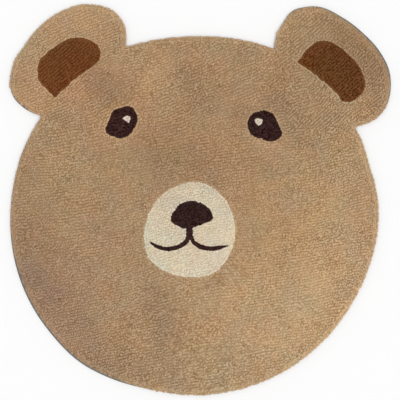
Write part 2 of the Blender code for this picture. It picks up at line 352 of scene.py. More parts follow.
DISPLAY_GAMMA = 2.2

# Materials. A pair is what the low and the high end of a noise or of the weave stand for.
NOISE_DETAIL = 2.0
FIBRE_SIZE = 0.0011
STRAND_SIZE = 0.0026
FIBRE_TONES = (0.80, 1.20)
FIBRE_ROUGHNESS = (0.98, 0.80)
FIBRE_BUMP = 0.6
FIBRE_RELIEF = 0.5  # its depth, as a share of the fibre's size
SHEEN = 0.05
SHEEN_ROUGHNESS = 0.6
YARN_SPECULAR = 0.08
BED_FIBRE_SIZE = 0.0025
BED_TONES = (0.70, 1.15)
BED_ROUGHNESS = (1.0, 0.9)
BED_BUMP = 0.8
BED_RELIEF = 0.001
BED_SPECULAR = 0.1
BACKING_COLOUR = (0.62, 0.55, 0.44)
# Dark grey of the cloth's edge rings: painted shade along the rim.
PAINTED_EDGE_SHADE = (0.20, 0.195, 0.175)
THREADS = {"Scale": 110.0, "Distortion": 0.6, "Detail": 1.0}
WEAVE_TONES = (0.78, 1.05)
WEAVE_ROUGHNESS = (0.98, 0.85)
WEAVE_BUMP = 0.6
WEAVE_RELIEF = 0.0008
CLOUD_SIZE = 0.05  # of the cloth's paler and darker parts
CLOUD_TONES = (0.92, 1.06)
FLOOR_ROUGHNESS = 0.9

# How uneven the pile is, in its shape and in its tint.
ROUGH_PATCH = 0.40  # how much rougher some patches are than the rest, or how much less
ROUGH_PATCH_CELL = 0.028

# Parts of the pile that are more even than the rest, or rougher.
# Columns: x, y, radius, change of roughness.
ROUGHNESS = (
    (-0.345, 0.500, 0.110, -0.72),
    (-0.475, 0.365, 0.080, -0.25),
    (0.000, -0.430, 0.200, 0.42),
)

# Painted light and shade: parts of the pile painted lighter or darker, as they lie another way
# or were folded.
# Columns: x, y, half length, half width, heading of its length, change of lightness.
PAINTED_LIGHT_AND_SHADE = (
    (-0.352, 0.491, 0.130, 0.060, 20.0, 0.07),
    (-0.478, 0.336, 0.100, 0.050, 70.0, 0.05),
    (-0.127, 0.350, 0.080, 0.050, -60.0, 0.08),
    (-0.250, 0.290, 0.110, 0.050, -50.0, -0.22),
    (0.460, 0.410, 0.190, 0.065, -48.0, -0.23),
    (0.232, 0.364, 0.060, 0.030, 75.0, -0.12),
    (0.190, 0.230, 0.110, 0.080, 0.0, -0.18),
    (0.013, 0.294, 0.120, 0.080, 90.0, -0.08),
    (-0.090, 0.115, 0.160, 0.075, -10.0, -0.18),
    (0.380, -0.030, 0.220, 0.120, 90.0, 0.15),
    (0.250, -0.320, 0.280, 0.190, 24.0, 0.28),
    (0.238, -0.408, 0.100, 0.050, 20.0, 0.10),
    (0.000, -0.490, 0.120, 0.060, 0.0, 0.05),
    (-0.108, -0.338, 0.120, 0.040, -74.0, -0.10),
    (-0.468, -0.170, 0.160, 0.090, 90.0, -0.18),
    (-0.335, -0.380, 0.240, 0.085, -48.0, -0.16),
    (-0.500, 0.060, 0.080, 0.040, 80.0, -0.06),
    (-0.220, 0.217, 0.050, 0.040, 60.0, 0.53),
    (0.179, 0.206, 0.050, 0.040, 120.0, 0.42),
    (-0.206, 0.227, 0.014, 0.012, 0.0, -0.36),
    (0.163, 0.218, 0.014, 0.012, 0.0, -0.26),
    (-0.015, 0.022, 0.055, 0.026, 0.0, 0.11),
)

# Parts of the pile that look redder or bluer than the rest, or less so.
# Columns: x, y, half length, half width, heading of its length, change of red, of blue.
HUES = (
    (-0.310, 0.320, 0.130, 0.090, 40.0, 0.09, -0.03),
    (-0.040, 0.150, 0.190, 0.100, -30.0, 0.06, -0.04),
    (0.210, 0.280, 0.130, 0.060, 0.0, 0.05, 0.00),
    (-0.430, -0.290, 0.230, 0.100, -55.0, 0.03, 0.13),
    (0.230, -0.370, 0.280, 0.130, 25.0, -0.055, 0.01),
    (0.390, 0.080, 0.150, 0.080, 90.0, -0.05, 0.01),
    (0.200, -0.100, 0.140, 0.110, 0.0, 0.00, -0.06),
    (-0.050, -0.490, 0.200, 0.070, 0.0, -0.035, 0.06),
    (0.380, 0.355, 0.080, 0.045, -52.0, -0.08, -0.02),
    (0.495, 0.390, 0.100, 0.045, -75.0, 0.07, -0.02),
    (-0.206, 0.227, 0.014, 0.012, 0.0, 0.00, 0.17),
    (0.163, 0.218, 0.014, 0.012, 0.0, 0.00, 0.06),
    (-0.015, 0.022, 0.055, 0.026, 0.0, -0.04, 0.00),
)

# -------------------------------- pieces
MAP_SQUARES = ((0.01, 0.80), (0.82, 0.17))  # start and size, for tops and then for sides

# Where one part of the coat ends and the next begins.
EAR_FOOT = 0.24
EAR_SIDE = 0.19
CHEEK_TOP = 0.12
CHIN_TOP = -0.24

# -------------------------------- photograph and stage
FRAME_PIXELS = 400
PIXEL_SIZE = 0.002809  # what one pixel covers on the rug
CAMERA_CENTRE = (-0.0008, -0.0008)
CAMERA_LENS_MM = 85.0
CAMERA_SENSOR_MM = 36.0
FLOOR_HALF = 40.0
FLOOR_SHADE = 0.90
HORIZON = 0.97  # strength of the light from all around, low down
OVERHEAD = 0.812  # and from above
HORIZON_RISE = 0.35  # sine of the height at which it has faded to the latter
LAMP_FROM = (0.45, -0.35, 1.0)
LAMP_SPREAD = 40.0  # a wide, even lamp far away
LAMP_STRENGTH = 1.0


def rotated(points, turn):
    """Points turned about the origin."""
    angle = math.radians(turn)
    cosine, sine = math.cos(angle), math.sin(angle)
    x, y = points[:, 0], points[:, 1]
    return np.column_stack((x * cosine - y * sine, x * sine + y * cosine))


def left_of(ways):
    """Vectors a quarter turn to the left of others."""
    return np.column_stack((-ways[:, 1], ways[:, 0]))


def unit(angles):
    """Unit vectors at angles in radians."""
    return np.column_stack((np.cos(angles), np.sin(angles)))


def soft_field(places, cell, seed):
    """Smooth random values from -1 to 1 that change over about one cell."""
    rng = np.random.default_rng(SEED * FIELD_SEEDS + seed)
    count = int(FIELD_SPAN / cell) + FIELD_MARGIN
    grid = rng.uniform(-1.0, 1.0, (count, count))
    turn = FIELD_TURN + FIELD_TURN_STEP * seed
    spot = (rotated(places, turn) + FIELD_SPAN / 2.0) / cell
    low = np.floor(spot).astype(int)
    share = spot - low
    ease = share * share * (3.0 - 2.0 * share)
    i, j = low[:, 0], low[:, 1]
    foot = grid[i, j] * (1 - ease[:, 0]) + grid[i + 1, j] * ease[:, 0]
    head = grid[i, j + 1] * (1 - ease[:, 0]) + grid[i + 1, j + 1] * ease[:, 0]
    return foot * (1 - ease[:, 1]) + head * ease[:, 1]


# -------------------------------- lines
def spline(knots, step, closed, cornered=True):
    """Points about a step apart on the Catmull-Rom curve through rows of knots.

    A cornered curve doesn't run on smoothly through its first and last knots.
    """
    knots = np.asarray(knots, float)
    count = len(knots)
    last = count if closed else count - 1
    points = []
    for index in range(last):
        start, end = knots[index], knots[(index + 1) % count]
        before = start if cornered and index == 0 else knots[index - 1]
        after = end if cornered and index == last - 1 else knots[(index + 2) % count]
        pieces = max(1, round(float(np.linalg.norm((end - start)[:2])) / step))
        for piece in range(pieces):
            t = piece / pieces
            points.append(
                before * (-0.5 * t**3 + t**2 - 0.5 * t)
                + start * (1.5 * t**3 - 2.5 * t**2 + 1.0)
                + end * (-1.5 * t**3 + 2.0 * t**2 + 0.5 * t)
                + after * (0.5 * t**3 - 0.5 * t**2)
            )
    if not closed:
        points.append(knots[-1])
    return np.array(points)


def stroke_line(rows, step):
    """Points along a stroke, with its half width, its way and its left offset at each."""
    middle = spline(rows, step, closed=False)
    points, half_widths = middle[:, :2], middle[:, 2:]
    along = np.gradient(points, axis=0)
    along /= np.linalg.norm(along, axis=1)[:, None]
    return points, half_widths, along, left_of(along) * half_widths


def stroke(rows):
    """Closed outline of a stroke that is as wide as its rows say."""
    points, _half_widths, _along, across = stroke_line(rows, AREA_STEP)
    return np.vstack((points - across, (points + across)[::-1]))


def yarn_areas():
    """Yarn and loop of every area that isn't the tan coat, the uppermost last."""
    areas = [(yarn, spline(knots, AREA_STEP, True, cornered)) for yarn, knots, cornered in AREAS]
    areas += [("dark", stroke(rows)) for rows in STROKES]
    return [(yarn, wavering(loop)) for yarn, loop in areas]


def wavering(loop):
    """A loop that strays a little from its line, as hand-tufted borders do."""
    stray = BORDER_WAVER * soft_field(loop, BORDER_WAVER_CELL, BORDER_FIELD)
    return inset(loop, stray)


def highest(faces):
    """Height of the highest corner of some faces."""
    return max(vertex.co.z for face in faces for vertex in face.verts)


def rug_outline(node):
    """The rug's widest line, read off the edge of the solid's flat underside."""
    solid = bmesh.new()
    solid.from_mesh(node.data)
    bmesh.ops.remove_doubles(solid, verts=solid.verts, dist=WELD_DISTANCE)
    following = {}
    for face in solid.faces:
        if highest([face]) > LEVEL_TOLERANCE:
            continue
        for loop in face.loops:
            other = [f for f in loop.edge.link_faces if f is not face]
            if highest(other) > LEVEL_TOLERANCE:
                following[loop.link_loop_next.vert.index] = loop.vert.index
    chain = [min(following)]
    while following[chain[-1]] != chain[0]:
        chain.append(following[chain[-1]])
    solid.verts.ensure_lookup_table()
    loop = np.array([solid.verts[index].co[:2] for index in chain])
    solid.free()
    return inset(loop, -UNDERSIDE_INSET)


def inward(loop):
    """Unit vectors that point into a counter-clockwise loop."""
    along = np.roll(loop, -1, axis=0) - np.roll(loop, 1, axis=0)
    return left_of(along / np.linalg.norm(along, axis=1)[:, None])


def inset(loop, distance):
    """A counter-clockwise loop moved in by one distance, or by one at each point."""
    return loop + inward(loop) * np.reshape(distance, (-1, 1))


def walk(loop, step):
    """Evenly spaced points along a closed loop, and the way the loop runs at each."""
    ends = np.roll(loop, -1, axis=0)
    lengths = np.linalg.norm(ends - loop, axis=1)
    start = np.concatenate(([0.0], np.cumsum(lengths)))
    count = round(start[-1] / step)
    target = (np.arange(count) + 0.5) * start[-1] / count
    index = np.searchsorted(start, target, side="right") - 1
    share = (target - start[index]) / lengths[index]
    points = loop[index] + (ends - loop)[index] * share[:, None]
    return points, ((ends - loop) / lengths[:, None])[index]


def is_inside(points, loop):
    """Which points lie within a closed loop."""
    inside = np.zeros(len(points), bool)
    x, y = points[:, 0], points[:, 1]
    for (x0, y0), (x1, y1) in zip(loop, np.roll(loop, -1, axis=0)):
        if y0 != y1:
            crossed = (y0 > y) != (y1 > y)
            inside ^= crossed & (x < x0 + (y - y0) / (y1 - y0) * (x1 - x0))
    return inside


def distance_to(points, loop, closed=True):
    """Distance from each point to a line."""
    nearest = np.full(len(points), np.inf)
    ends = np.roll(loop, -1, axis=0) if closed else loop[1:]
    for start, end in zip(loop, ends):
        side = end - start
        share = np.clip((points - start) @ side / (side @ side), 0.0, 1.0)
        away = points - start - share[:, None] * side
        nearest = np.minimum(nearest, np.einsum("ij,ij->i", away, away))
    return np.sqrt(nearest)


def field_share(places, outline):
    """How far in from the rim each place is, up to 1 where the rows of the field begin."""
    return np.clip(distance_to(places, outline) / RIM_FIELD_START, 0.0, 1.0)


def lattice(loop, step, stagger=0.0):
    """Points a step apart over a loop's box, every other row shifted by a share of a step."""
    low, high = loop.min(axis=0), loop.max(axis=0)
    x, y = np.meshgrid(np.arange(low[0], high[0], step), np.arange(low[1], high[1], step))
    x = x + (np.arange(len(x)) % 2)[:, None] * step * stagger
    return np.column_stack((x.ravel(), y.ravel()))


def in_box(points, loop, margin=0.0):
    """Which points lie within a loop's box, or within a margin of it."""
    low, high = loop.min(axis=0) - margin, loop.max(axis=0) + margin
    return np.all((points >= low) & (points <= high), axis=1)


def yarn_of(points, areas):
    """Name of the yarn at each point."""
    yarns = np.full(len(points), "tan", dtype="<U8")
    for yarn, loop in areas:
        index = np.nonzero(in_box(points, loop))[0]
        yarns[index[is_inside(points[index], loop)]] = yarn
    return yarns


def bumps(places, rows):
    """Sum of soft-edged patches, each with a place, a size, a heading and a height."""
    total = np.zeros(len(places))
    for x, y, half_length, half_width, heading, height in rows:
        away = rotated(places - (x, y), -heading) / (half_length, half_width)
        total += height * np.exp(-np.einsum("ij,ij->i", away, away))
    return total


# -------------------------------- where the tufts stand
def tufts(places, headings, tilts=None, tips=None, widths=None):
    """A row for each tuft: place, heading, tilt, height of the tip and half width."""
    count = len(places)
    tilts = np.zeros((count, 2)) if tilts is None else tilts
    tips = np.full(count, PILE_TOP) if tips is None else tips
    widths = np.full(count, TUFT_HALF_WIDTH) if widths is None else widths
    return np.column_stack((places, headings, tilts, tips, widths))


def rim_tufts(rng, outline):
    """Rows that follow the edge of the rug and lean out over it."""
    rows = []
    for distance, tip, lean in RIM_ROWS:
        slope = math.tan(math.radians(lean))
        shift = (tip - foot_level(tip)) * TUFT_SHOULDER * slope
        places, along = walk(inset(outline, distance + TUFT_HALF_WIDTH + shift), RIM_TUFT_PITCH)
        places = places + rng.normal(0.0, RIM_JITTER, places.shape)
        outward = -left_of(along) * slope
        rows.append(tufts(places, along, outward, np.full(len(places), tip)))
    return np.concatenate(rows)


def stroke_tufts(rows):
    """Two rows side by side along a stroke, as wide together as the stroke is."""
    places, half_widths, along, across = stroke_line(rows, TUFT_PITCH * STROKE_PITCH_SHARE)
    widths = half_widths[:, 0] * STROKE_TUFT_SHARE
    offsets = (-STROKE_ROW_SHARE * across, STROKE_ROW_SHARE * across)
    return np.concatenate([tufts(places + offset, along, widths=widths) for offset in offsets])


def border_tufts(rng, areas):
    """Rows to either side of every border between two yarns."""
    rows = []
    for _yarn, loop in areas:
        for side in (BORDER_OFFSET, -BORDER_OFFSET):
            places, along = walk(inset(loop, side), BORDER_TUFT_PITCH)
            places = places + rng.normal(0.0, BORDER_JITTER, places.shape)
            rows.append(tufts(places, along))
    return np.concatenate(rows)


def row_patch(places):
    """Number of the patch of rows that each place lies in, or 0 outside them all."""
    number = np.zeros(len(places), int)
    stray = PATCH_STRAY * soft_field(places, PATCH_CELL, PATCH_FIELD)
    for index in range(len(ROW_PATCHES), 0, -1):
        x, y, radius, *_headings = ROW_PATCHES[index - 1]
        number[np.linalg.norm(places - (x, y), axis=1) + stray < radius] = index
    return number


def field_tufts(rng, outline, areas):
    """Swaying rows all over the rug, clear of its rim and of the borders."""
    reach = np.linalg.norm(outline, axis=1).max()
    rows = np.arange(-reach, reach, ROW_PITCH)
    x, y = np.meshgrid(np.arange(-reach, reach, TUFT_PITCH), rows)
    x = x + rng.uniform(0.0, TUFT_PITCH, len(rows))[:, None]
    found = []
    headings = [(ROW_HEADING, TUFT_HEADING)] + [patch[3:] for patch in ROW_PATCHES]
    for number, (heading, tuft_heading) in enumerate(headings):
        places = rotated(np.column_stack((x.ravel(), y.ravel())), heading)
        for wave, (stray, cell) in enumerate(SWAYS):
            places[:, 1] += stray * soft_field(places, cell, SWAY_FIELD + wave)
        places += rng.normal(0.0, PLACE_JITTER, places.shape)
        places = places[row_patch(places) == number]
        places = places[is_clear(places, outline, areas, RIM_FIELD_START, BORDER_CLEAR)]
        along = unit(np.radians([tuft_heading]))
        found.append(tufts(places, np.tile(along, (len(places), 1))))
    return np.concatenate(found)


def filling_tufts(rng, outline, areas):
    """Loose candidates that close the gaps between the rows, in no order."""
    places = lattice(outline, FILL_LATTICE)
    places += rng.uniform(-0.5, 0.5, places.shape) * FILL_LATTICE
    places = places[is_clear(places, outline, areas, TUFT_HALF_WIDTH, BORDER_FILL_CLEAR)]
    places = rng.permutation(places)
    tips = RIM_TIP + (PILE_TOP - RIM_TIP) * np.sqrt(field_share(places, outline))
    return tufts(places, unit(rng.uniform(0.0, math.pi, len(places))), tips=tips)


def is_clear(points, outline, areas, rim, border):
    """Which points lie within the rug, clear of its rim and of every border."""
    clear = is_inside(points, outline)
    clear[clear] = distance_to(points[clear], outline) > rim
    for _yarn, loop in areas:
        near = clear & in_box(points, loop, border)
        clear[near] = distance_to(points[near], loop) > border
    return clear


def thinned(candidates, closest, standing):
    """The candidates that, first come first served, keep their distance from all others."""
    crowd = {}
    for x, y in standing[:, :2].tolist():
        crowd.setdefault((math.floor(x / closest), math.floor(y / closest)), []).append((x, y))
    kept = np.zeros(len(candidates), bool)
    limit = closest * closest
    for index, (x, y) in enumerate(candidates[:, :2].tolist()):
        column, row = math.floor(x / closest), math.floor(y / closest)
        rivals = (
            rival
            for i in (column - 1, column, column + 1)
            for j in (row - 1, row, row + 1)
            for rival in crowd.get((i, j), ())
        )
        if all((x - u) ** 2 + (y - v) ** 2 >= limit for u, v in rivals):
            kept[index] = True
            crowd.setdefault((column, row), []).append((x, y))
    return candidates[kept]


def plant(rng, outline, areas):
    """Every tuft, before the pile is ruffled."""
    rows = [rim_tufts(rng, outline)]
    rows += [stroke_tufts(stroke_rows) for stroke_rows in STROKES]
    rows.append(border_tufts(rng, areas))
    rows.append(field_tufts(rng, outline, areas))
    rows = np.concatenate(rows)
    standing = thinned(rows, CLOSEST, rows[:0])
    filling = thinned(filling_tufts(rng, outline, areas), FILL_CLOSEST, standing)
    return np.concatenate((standing, filling))


def foot_level(tips):
    """Height at which a tuft of some height leaves the cloth."""
    return np.minimum(CLOTH_TOP, tips * CLOTH_SHARE) - TUFT_ROOT_DEPTH


def roughness(places):
    """How uneven the pile is at each place, as a share of the usual."""
    rough = 1.0 + ROUGH_PATCH * soft_field(places, ROUGH_PATCH_CELL, ROUGH_FIELD)
    for x, y, radius, change in ROUGHNESS:
        away = np.linalg.norm(places - (x, y), axis=1) / radius
        rough += change * np.exp(-away * away)
    return rough


def ruffle(rng, standing, outline, areas):
    """Turn, lean and lift every tuft a little, and part the pile along its partings."""
    places, headings, tilts = standing[:, 0:2], standing[:, 2:4], standing[:, 4:6]
    tips = standing[:, 6]
    count = len(standing)
    field = field_share(places, outline) * roughness(places)
    turn = TURN_NEAR * soft_field(places, TURN_NEAR_CELL, TURN_FIELD)
    turn = np.radians(turn + rng.normal(0.0, TURN_SINGLE, count)) * field
    headings[:] = unit(np.arctan2(headings[:, 1], headings[:, 0]) + turn)
    lean = np.column_stack(
        [
            LEAN_WIDE * soft_field(places, LEAN_WIDE_CELL, LEAN_WIDE_FIELD + axis)
            + LEAN_NEAR * soft_field(places, LEAN_NEAR_CELL, LEAN_NEAR_FIELD + axis)
            + rng.normal(0.0, LEAN_SINGLE, count)
            for axis in (0, 1)
        ]
    )
    along_border = ~is_clear(places, outline, areas, 0.0, BORDER_CLEAR)
    lean[along_border] *= BORDER_CALM
    tilts += np.tan(np.radians(lean)) * field[:, None]
    tips += HEIGHT_WIDE * soft_field(places, HEIGHT_WIDE_CELL, HEIGHT_WIDE_FIELD)
    tips += HEIGHT_NEAR * soft_field(places, HEIGHT_NEAR_CELL, HEIGHT_NEAR_FIELD) * field
    tips += rng.normal(0.0, HEIGHT_SINGLE, count) * roughness(places)
    for x0, y0, x1, y1 in PARTINGS:
        line = np.array([(x0, y0), (x1, y1)])
        share = np.clip(1.0 - distance_to(places, line, closed=False) / PARTING_REACH, 0, 1)
        across = np.array([-(y1 - y0), x1 - x0]) / math.hypot(x1 - x0, y1 - y0)
        side = np.sign((places - line[0]) @ across)
        push = share * side * math.tan(math.radians(PARTING_LEAN))
        tilts += push[:, None] * across
        tips -= share * PARTING_DROP


# -------------------------------- colours of the tufts
def shading(places):
    """Red, green and blue multipliers of the pile at each place, with its painted light and
    shade.
    """
    light = 1.0 + TINT_PATCH * soft_field(places, TINT_PATCH_CELL, TINT_FIELD)
    # painted light and shade, patch by patch
    light = light + bumps(places, PAINTED_LIGHT_AND_SHADE)
    warm, green = (
        strength * sum(soft_field(places, cell, field) for cell in HUE_PATCH_CELLS)
        for strength, field in ((HUE_PATCH, WARM_FIELD), (GREEN_SHARE * HUE_PATCH, GREEN_FIELD))
    )
    red = warm + bumps(places, [row[:6] for row in HUES])
    blue = bumps(places, [row[:5] + row[6:] for row in HUES]) - warm
    return light[:, None] * (1.0 + np.column_stack((red, green, blue)))


def paleness(colour):
    """How much more a fleck of light changes a yarn's weak colours than its strong ones."""
    weights = np.array(colour) ** (-1.0 / DISPLAY_GAMMA)
    return weights / weights.mean()


def tints(rng, places, yarns, outline):
    """Red, green and blue multipliers of every tuft."""
    near_rim = 1.0 - field_share(places, outline)
    single = np.array([YARNS[yarn][2] for yarn in yarns]) * roughness(places)
    stray = (GUMBEL_MEAN - rng.gumbel(0.0, 1.0, len(places))) * single
    stray = stray.clip(-TINT_LIMIT, TINT_LIMIT)
    pale = {yarn: paleness(colour) for yarn, (colour, *_shades) in YARNS.items()}
    # painted light on the outermost tufts, turned to painted shade where the backing shows
    stray += (PAINTED_RIM_LIGHT - PAINTED_BARE_RIM_SHADE * bumps(places, BARE_RIMS)) * near_rim
    return shading(places) * (1.0 + stray[:, None] * np.array([pale[yarn] for yarn in yarns]))


# -------------------------------- meshes
def new_mesh(name, points, triangles):
    """A smooth-shaded mesh from arrays of points and triangles."""
    mesh = bpy.data.meshes.new(name)
    mesh.vertices.add(len(points))
    mesh.vertices.foreach_set("co", np.asarray(points, np.float32).ravel())
    mesh.loops.add(3 * len(triangles))
    mesh.loops.foreach_set("vertex_index", np.asarray(triangles, np.int32).ravel())
    mesh.polygons.add(len(triangles))
    mesh.polygons.foreach_set("loop_start", np.arange(0, 3 * len(triangles), 3, np.int32))
    mesh.update(calc_edges=True)
    mesh.validate()
    mesh.shade_smooth()
    return mesh


def new_object(name, data):
    """An object in the scene for a mesh, a camera or a lamp."""
    item = bpy.data.objects.new(name, data)
    bpy.context.scene.collection.objects.link(item)
    return item


def new_piece(name, mesh, *materials):
    """A piece of the rug that rides on its one body."""
    piece = new_object(name, mesh)
    for material in materials:
        mesh.materials.append(material)
    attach(piece, "root")
    return piece


def set_attribute(mesh, name, kind, values):
    """Store one value or colour at every point of a mesh."""
    layer = mesh.attributes.new(name, kind, "POINT")
    key = "color" if kind == "FLOAT_COLOR" else "value"
    layer.data.foreach_set(key, np.asarray(values, np.float32).ravel())


def set_plan_map(mesh, points):
    """A map named OFBake: the tops of the tufts as they are looked down on.

    Their feet and sides get the same map in a small square of their own.
    """
    low = points[:, :2].min(axis=0)
    plan = (points[:, :2] - low) / (points[:, :2].max(axis=0) - low).max()
    corners = np.zeros(len(mesh.loops), np.int32)
    mesh.loops.foreach_get("vertex_index", corners)
    corners = corners.reshape(-1, 3)
    tip = 2 * TUFT_SIDES
    tops = ((corners % (tip + 1)).max(axis=1) == tip)[:, None, None]
    (top_start, top_size), (side_start, side_size) = MAP_SQUARES
    plan = plan[corners]
    spots = np.where(tops, top_start + top_size * plan, side_start + side_size * plan)
    layer = mesh.uv_layers.new(name="OFBake")
    layer.data.foreach_set("uv", spots.astype(np.float32).ravel())


def tuft_template():
    """Triangles of one tuft: a foot ring, a shoulder ring and a tip."""
    tip = 2 * TUFT_SIDES
    triangles = []
    for side in range(TUFT_SIDES):
        following = (side + 1) % TUFT_SIDES
        triangles.append((side, following, TUFT_SIDES + following))
        triangles.append((side, TUFT_SIDES + following, TUFT_SIDES + side))
        triangles.append((TUFT_SIDES + side, TUFT_SIDES + following, tip))
    triangles += [(0, side + 1, side) for side in range(1, TUFT_SIDES - 1)]
    return np.array(triangles)


def tuft_points(rng, standing):
    """Points of every tuft, as an array of tufts, points and coordinates."""
    places, headings, tilts = standing[:, 0:2], standing[:, 2:4], standing[:, 4:6]
    tips, widths = standing[:, 6], standing[:, 7]
    count = len(standing)
    foot = foot_level(tips)
    height = tips - foot
    size = 1.0 + rng.normal(0.0, SIZE_SPREAD, count).clip(-SIZE_LIMIT, SIZE_LIMIT)
    across = left_of(headings) * (widths * size)[:, None]
    along = headings * (TUFT_HALF_LENGTH * size)[:, None]
    ring = unit(np.arange(TUFT_SIDES) * 2.0 * math.pi / TUFT_SIDES)
    spin = ring[None, :, :1] * along[:, None, :] + ring[None, :, 1:] * across[:, None, :]
    points = np.zeros((count, 2 * TUFT_SIDES + 1, 3))
    levels = ((0, 0.0, TUFT_FOOT_SCALE), (TUFT_SIDES, TUFT_SHOULDER, 1.0))
    for first, share, scale in levels:
        shift = places + tilts * (height * share)[:, None]
        ring_points = points[:, first : first + TUFT_SIDES]
        ring_points[:, :, :2] = shift[:, None, :] + spin * scale
        slope = np.einsum("ijk,ik->ij", spin * scale, tilts) * (share > 0)
        ring_points[:, :, 2] = (foot + height * share)[:, None] - RING_TILT * slope
    points[:, -1, :2] = places + tilts * height[:, None]
    points[:, -1, 2] = tips
    points[:, :, 2] = np.maximum(points[:, :, 2], LOWEST_TUFT)
    return points


def pile_piece(name, points, tint, rough, template, material):
    """One piece of pile from its tufts."""
    count, corners, _axes = points.shape
    triangles = (template[None] + (np.arange(count) * corners)[:, None, None]).reshape(-1, 3)
    flat = points.reshape(-1, 3)
    mesh = new_mesh(name, flat, triangles)
    # how deep each point lies in its tuft, which the yarn turns into painted shade
    depth = np.repeat((1.0, SHOULDER_DEPTH, 0.0), (TUFT_SIDES, TUFT_SIDES, 1))
    set_attribute(mesh, "tuft_depth", "FLOAT", rough[:, None] * depth)
    colour = np.column_stack((np.repeat(tint, corners, axis=0), np.ones(count * corners)))
    set_attribute(mesh, "tuft_tint", "FLOAT_COLOR", colour)
    set_plan_map(mesh, flat)
    piece = new_piece(name, mesh, material)
    return piece


def coat_region(places):
    """Name of the part of the coat that each tan tuft belongs to."""
    x, y = places[:, 0], places[:, 1]
    names = np.full(len(places), "crown", dtype="<U12")
    names[(y > EAR_FOOT) & (x < -EAR_SIDE)] = "left_ear"
    names[(y > EAR_FOOT) & (x > EAR_SIDE)] = "right_ear"
    names[(y < CHEEK_TOP) & (x < 0.0)] = "left_cheek"
    names[(y < CHEEK_TOP) & (x >= 0.0)] = "right_cheek"
    names[y < CHIN_TOP] = "chin"
    return names


def build_pile(rng, outline, areas, materials):
    """Every piece of pile."""
    standing = plant(rng, outline, areas)
    ruffle(rng, standing, outline, areas)
    places = standing[:, :2]
    points = tuft_points(rng, standing)
    yarns = yarn_of(places, areas)
    tint = tints(rng, places, yarns, outline)
    rough = roughness(places)
    regions = coat_region(places)
    template = tuft_template()
    pieces = []
    for yarn, material in materials.items():
        own = yarns == yarn
        names = regions[own] if yarn == "tan" else np.full(own.sum(), YARN_PLACES[yarn])
        for region in sorted(set(names.tolist())):
            chosen = np.nonzero(own)[0][names == region]
            name = f"{yarn}_pile_{region}"
            own_parts = (points[chosen], tint[chosen], rough[chosen])
            pieces.append(pile_piece(name, *own_parts, template, material))
    return pieces


def bed_colours(places, areas):
    """Colour of the bed at each place: painted shade, as dark as between tufts of the yarn there.
    """
    yarns = [YARNS[yarn] for yarn in yarn_of(places, areas)]
    depth = np.array([foot - 1.0 for _colour, foot, *_strays in yarns]) * roughness(places)
    colours = [
        np.array(yarn[0]) * (1.0 + share * paleness(yarn[0])) for yarn, share in zip(yarns, depth)
    ]
    return np.column_stack((colours * shading(places), np.ones(len(places))))


def build_cloth(outline, areas, top_material, back_material):
    """The backing cloth and the bed of pile that the tufts stand in, as one sheet."""
    count = len(outline)
    bare = bumps(outline, BARE_RIMS)
    rings = (
        (UNDERSIDE_INSET - BARE_OUTWARD * bare, 0.0),
        (CLOTH_INSET - BARE_OUTWARD * bare, CLOTH_EDGE_HEIGHT),
        (CLOTH_LEDGE_INSET + bare, CLOTH_LEDGE_HEIGHT),
        (CLOTH_SHOULDER_INSET + bare, CLOTH_TOP),
    )
    points = [
        np.column_stack((inset(outline, distances), np.full(count, level)))
        for distances, level in rings
    ]
    triangles = []
    for band in range(len(rings) - 1):
        for index in range(count):
            following = (index + 1) % count
            low, high = band * count, (band + 1) * count
            triangles.append((low + index, low + following, high + following))
            triangles.append((low + index, high + following, high + index))
    for ring, level, facing_up in ((len(rings) - 1, CLOTH_TOP, True), (0, 0.0, False)):
        loop = points[ring][:, :2]
        extra = border_points(areas) if facing_up else np.empty((0, 2))
        more, filling = filled_loop(loop, extra, ring * count, sum(map(len, points)), level)
        points.append(more)
        triangles += filling if facing_up else [face[::-1] for face in filling]
    points = np.concatenate(points)
    mesh = new_mesh("rug_cloth", points, triangles)
    rgba = bed_colours(points[:, :2], areas)
    # the cloth's edge rings are painted dark grey: painted shade along the rim
    rgba[: BARE_RINGS * count, :3] = PAINTED_EDGE_SHADE
    set_attribute(mesh, "bed_colour", "FLOAT_COLOR", rgba)
    cloth = new_piece("rug_cloth", mesh, top_material, back_material)
    for polygon in mesh.polygons:
        polygon.material_index = 1 if polygon.normal.z < FACING_DOWN else 0
    return cloth


def border_points(areas):
    """Points close to both sides of every border between two yarns."""
    lines = [inset(loop, distance) for _yarn, loop in areas for distance in BED_BORDER_INSETS]
    return np.concatenate([walk(line, AREA_STEP)[0] for line in lines])


def filled_loop(loop, extra, first, new_first, level):
    """Triangles across a loop whose points exist, and the points added within it."""
    inner = lattice(loop, CLOTH_LATTICE, stagger=0.5)
    inner = inner[is_clear(inner, loop, [], CLOTH_LATTICE / 2.0, 0.0)]
    places = [Vector(point) for point in np.concatenate((loop, extra, inner))]
    corners = [list(range(len(loop)))]
    found, _edges, faces, sources, _edge_sources, over = delaunay_2d_cdt(
        places, [], corners, FILL_MODE, FILL_TOLERANCE, True
    )
    names = {}
    added = []
    for index, origin in enumerate(sources):
        ring = [source for source in origin if source < len(loop)]
        if ring:
            names[index] = first + ring[0]
        else:
            names[index] = new_first + len(added)
            added.append((found[index].x, found[index].y, level))
    triangles = [tuple(names[i] for i in face) for face, loops in zip(faces, over) if loops]
    return np.array(added), triangles


